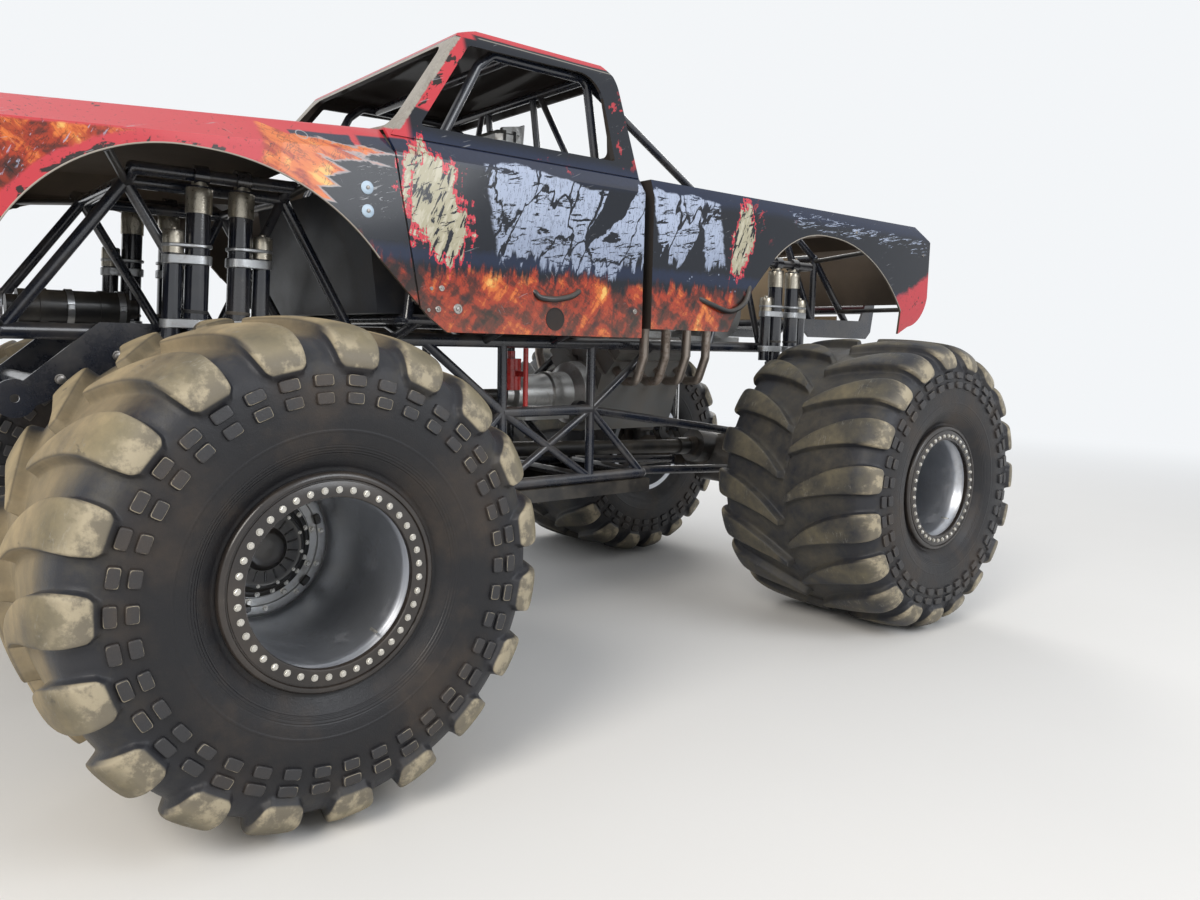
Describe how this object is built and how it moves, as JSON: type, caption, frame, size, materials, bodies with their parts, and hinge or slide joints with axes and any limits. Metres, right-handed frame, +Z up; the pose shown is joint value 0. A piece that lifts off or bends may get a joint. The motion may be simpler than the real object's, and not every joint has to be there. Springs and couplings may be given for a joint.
{
  "type": "monster truck",
  "caption": "Monster truck with a pickup body on a tube frame, tall lugged tyres, steered axles at both ends and a roll cage.",
  "frame": {"origin": "on the ground below the middle of the vehicle", "axes": "+X to the truck's left side, -Y to its front, +Z up"},
  "size_m": [3.554, 5.9399, 3.0439],
  "materials": {
    "frame_paint": "gloss, dusty",
    "body_paint": "faded gloss",
    "bare_aluminium": "brushed",
    "rim_metal": "spun",
    "tyre_rubber": "dusty",
    "axle_paint": "satin",
    "cast_grey": "cast",
    "black_steel": "satin",
    "shock_finish": "gloss with nickel caps",
    "red_paint": "gloss",
    "black_plastic": "matt",
    "lamp_glass": "clear",
    "core_tan": "dusty",
    "pipe_steel": "heat stained"
  },
  "bodies": {
    "chassis": {"frame_left": "frame_paint", "frame_right": "frame_paint", "frame_cross_tubes": "frame_paint", "cage_left": "frame_paint", "cage_right": "frame_paint", "cage_cross_tubes": "frame_paint", "body_front_clip": "body_paint", "body_cab": "body_paint", "body_bed": "body_paint", "body_mounts": "black_steel", "grille": "black_plastic", "headlamps": "lamp_glass", "floor_panels": "bare_aluminium", "seat": "bare_aluminium", "steering_wheel": "black_plastic", "engine": "cast_grey", "blower": "bare_aluminium", "headers": "pipe_steel", "gearbox": "bare_aluminium", "transfer_case": "cast_grey", "drive_shafts": "black_steel", "link_bars": "frame_paint", "shocks_front": "shock_finish", "shocks_rear": "shock_finish", "tow_plates": "frame_paint", "belly_skid": "black_steel", "radiator": "core_tan", "fuel_cell": "bare_aluminium", "fire_bottle": "red_paint", "front_tank": "black_steel", "axle_housing_front": "axle_paint", "axle_housing_rear": "axle_paint", "steering_ram_front": "black_steel", "steering_ram_rear": "black_steel"},
    "knuckle_front_left": {"knuckle_front_left": "axle_paint"},
    "wheel_front_left": {"rim_front_left": "rim_metal", "tyre_front_left": "tyre_rubber"},
    "knuckle_front_right": {"knuckle_front_right": "axle_paint"},
    "wheel_front_right": {"rim_front_right": "rim_metal", "tyre_front_right": "tyre_rubber"},
    "tie_rod_front": {"tie_rod_front": "axle_paint"},
    "ram_rod_front": {"ram_rod_front": "pipe_steel"},
    "knuckle_rear_left": {"knuckle_rear_left": "axle_paint"},
    "wheel_rear_left": {"rim_rear_left": "rim_metal", "tyre_rear_left": "tyre_rubber"},
    "knuckle_rear_right": {"knuckle_rear_right": "axle_paint"},
    "wheel_rear_right": {"rim_rear_right": "rim_metal", "tyre_rear_right": "tyre_rubber"},
    "tie_rod_rear": {"tie_rod_rear": "axle_paint"},
    "ram_rod_rear": {"ram_rod_rear": "pipe_steel"}
  },
  "joints": [
    {"name": "steer_front_left", "type": "hinge", "parent": "chassis", "child": "knuckle_front_left", "pos_m": [0.81, -1.815, 0.838], "axis": [0, 0, 1], "range_deg": [-25, 25]},
    {"name": "roll_front_left", "type": "hinge", "parent": "knuckle_front_left", "child": "wheel_front_left", "pos_m": [0.81, -1.815, 0.838], "axis": [1, 0, 0], "continuous": true},
    {"name": "steer_front_right", "type": "hinge", "parent": "chassis", "child": "knuckle_front_right", "pos_m": [-0.81, -1.815, 0.838], "axis": [0, 0, 1], "range_deg": [-25, 25]},
    {"name": "roll_front_right", "type": "hinge", "parent": "knuckle_front_right", "child": "wheel_front_right", "pos_m": [-0.81, -1.815, 0.838], "axis": [1, 0, 0], "continuous": true},
    {"name": "tie_rod_front_ball", "type": "hinge", "parent": "knuckle_front_left", "child": "tie_rod_front", "pos_m": [0.81, -2.03, 0.926], "axis": [0, 0, 1], "range_deg": [-25, 25]},
    {"name": "ram_front_slide", "type": "slide", "parent": "chassis", "child": "ram_rod_front", "axis": [1, 0, 0], "range_m": [-0.0938, 0.0938]},
    {"name": "steer_rear_left", "type": "hinge", "parent": "chassis", "child": "knuckle_rear_left", "pos_m": [0.81, 1.815, 0.838], "axis": [0, 0, 1], "range_deg": [-25, 25]},
    {"name": "roll_rear_left", "type": "hinge", "parent": "knuckle_rear_left", "child": "wheel_rear_left", "pos_m": [0.81, 1.815, 0.838], "axis": [1, 0, 0], "continuous": true},
    {"name": "steer_rear_right", "type": "hinge", "parent": "chassis", "child": "knuckle_rear_right", "pos_m": [-0.81, 1.815, 0.838], "axis": [0, 0, 1], "range_deg": [-25, 25]},
    {"name": "roll_rear_right", "type": "hinge", "parent": "knuckle_rear_right", "child": "wheel_rear_right", "pos_m": [-0.81, 1.815, 0.838], "axis": [1, 0, 0], "continuous": true},
    {"name": "tie_rod_rear_ball", "type": "hinge", "parent": "knuckle_rear_left", "child": "tie_rod_rear", "pos_m": [0.81, 2.03, 0.926], "axis": [0, 0, 1], "range_deg": [-25, 25]},
    {"name": "ram_rear_slide", "type": "slide", "parent": "chassis", "child": "ram_rod_rear", "axis": [1, 0, 0], "range_m": [-0.0938, 0.0938]}
  ],
  "couplings": [
    {"joint": "steer_front_right", "follows": "steer_front_left", "ratio": 1},
    {"joint": "tie_rod_front_ball", "follows": "steer_front_left", "ratio": -1},
    {"joint": "ram_front_slide", "follows": "steer_front_left", "m_per_rad": 0.215},
    {"joint": "steer_rear_right", "follows": "steer_rear_left", "ratio": 1},
    {"joint": "tie_rod_rear_ball", "follows": "steer_rear_left", "ratio": -1},
    {"joint": "ram_rear_slide", "follows": "steer_rear_left", "m_per_rad": -0.215}
  ]
}
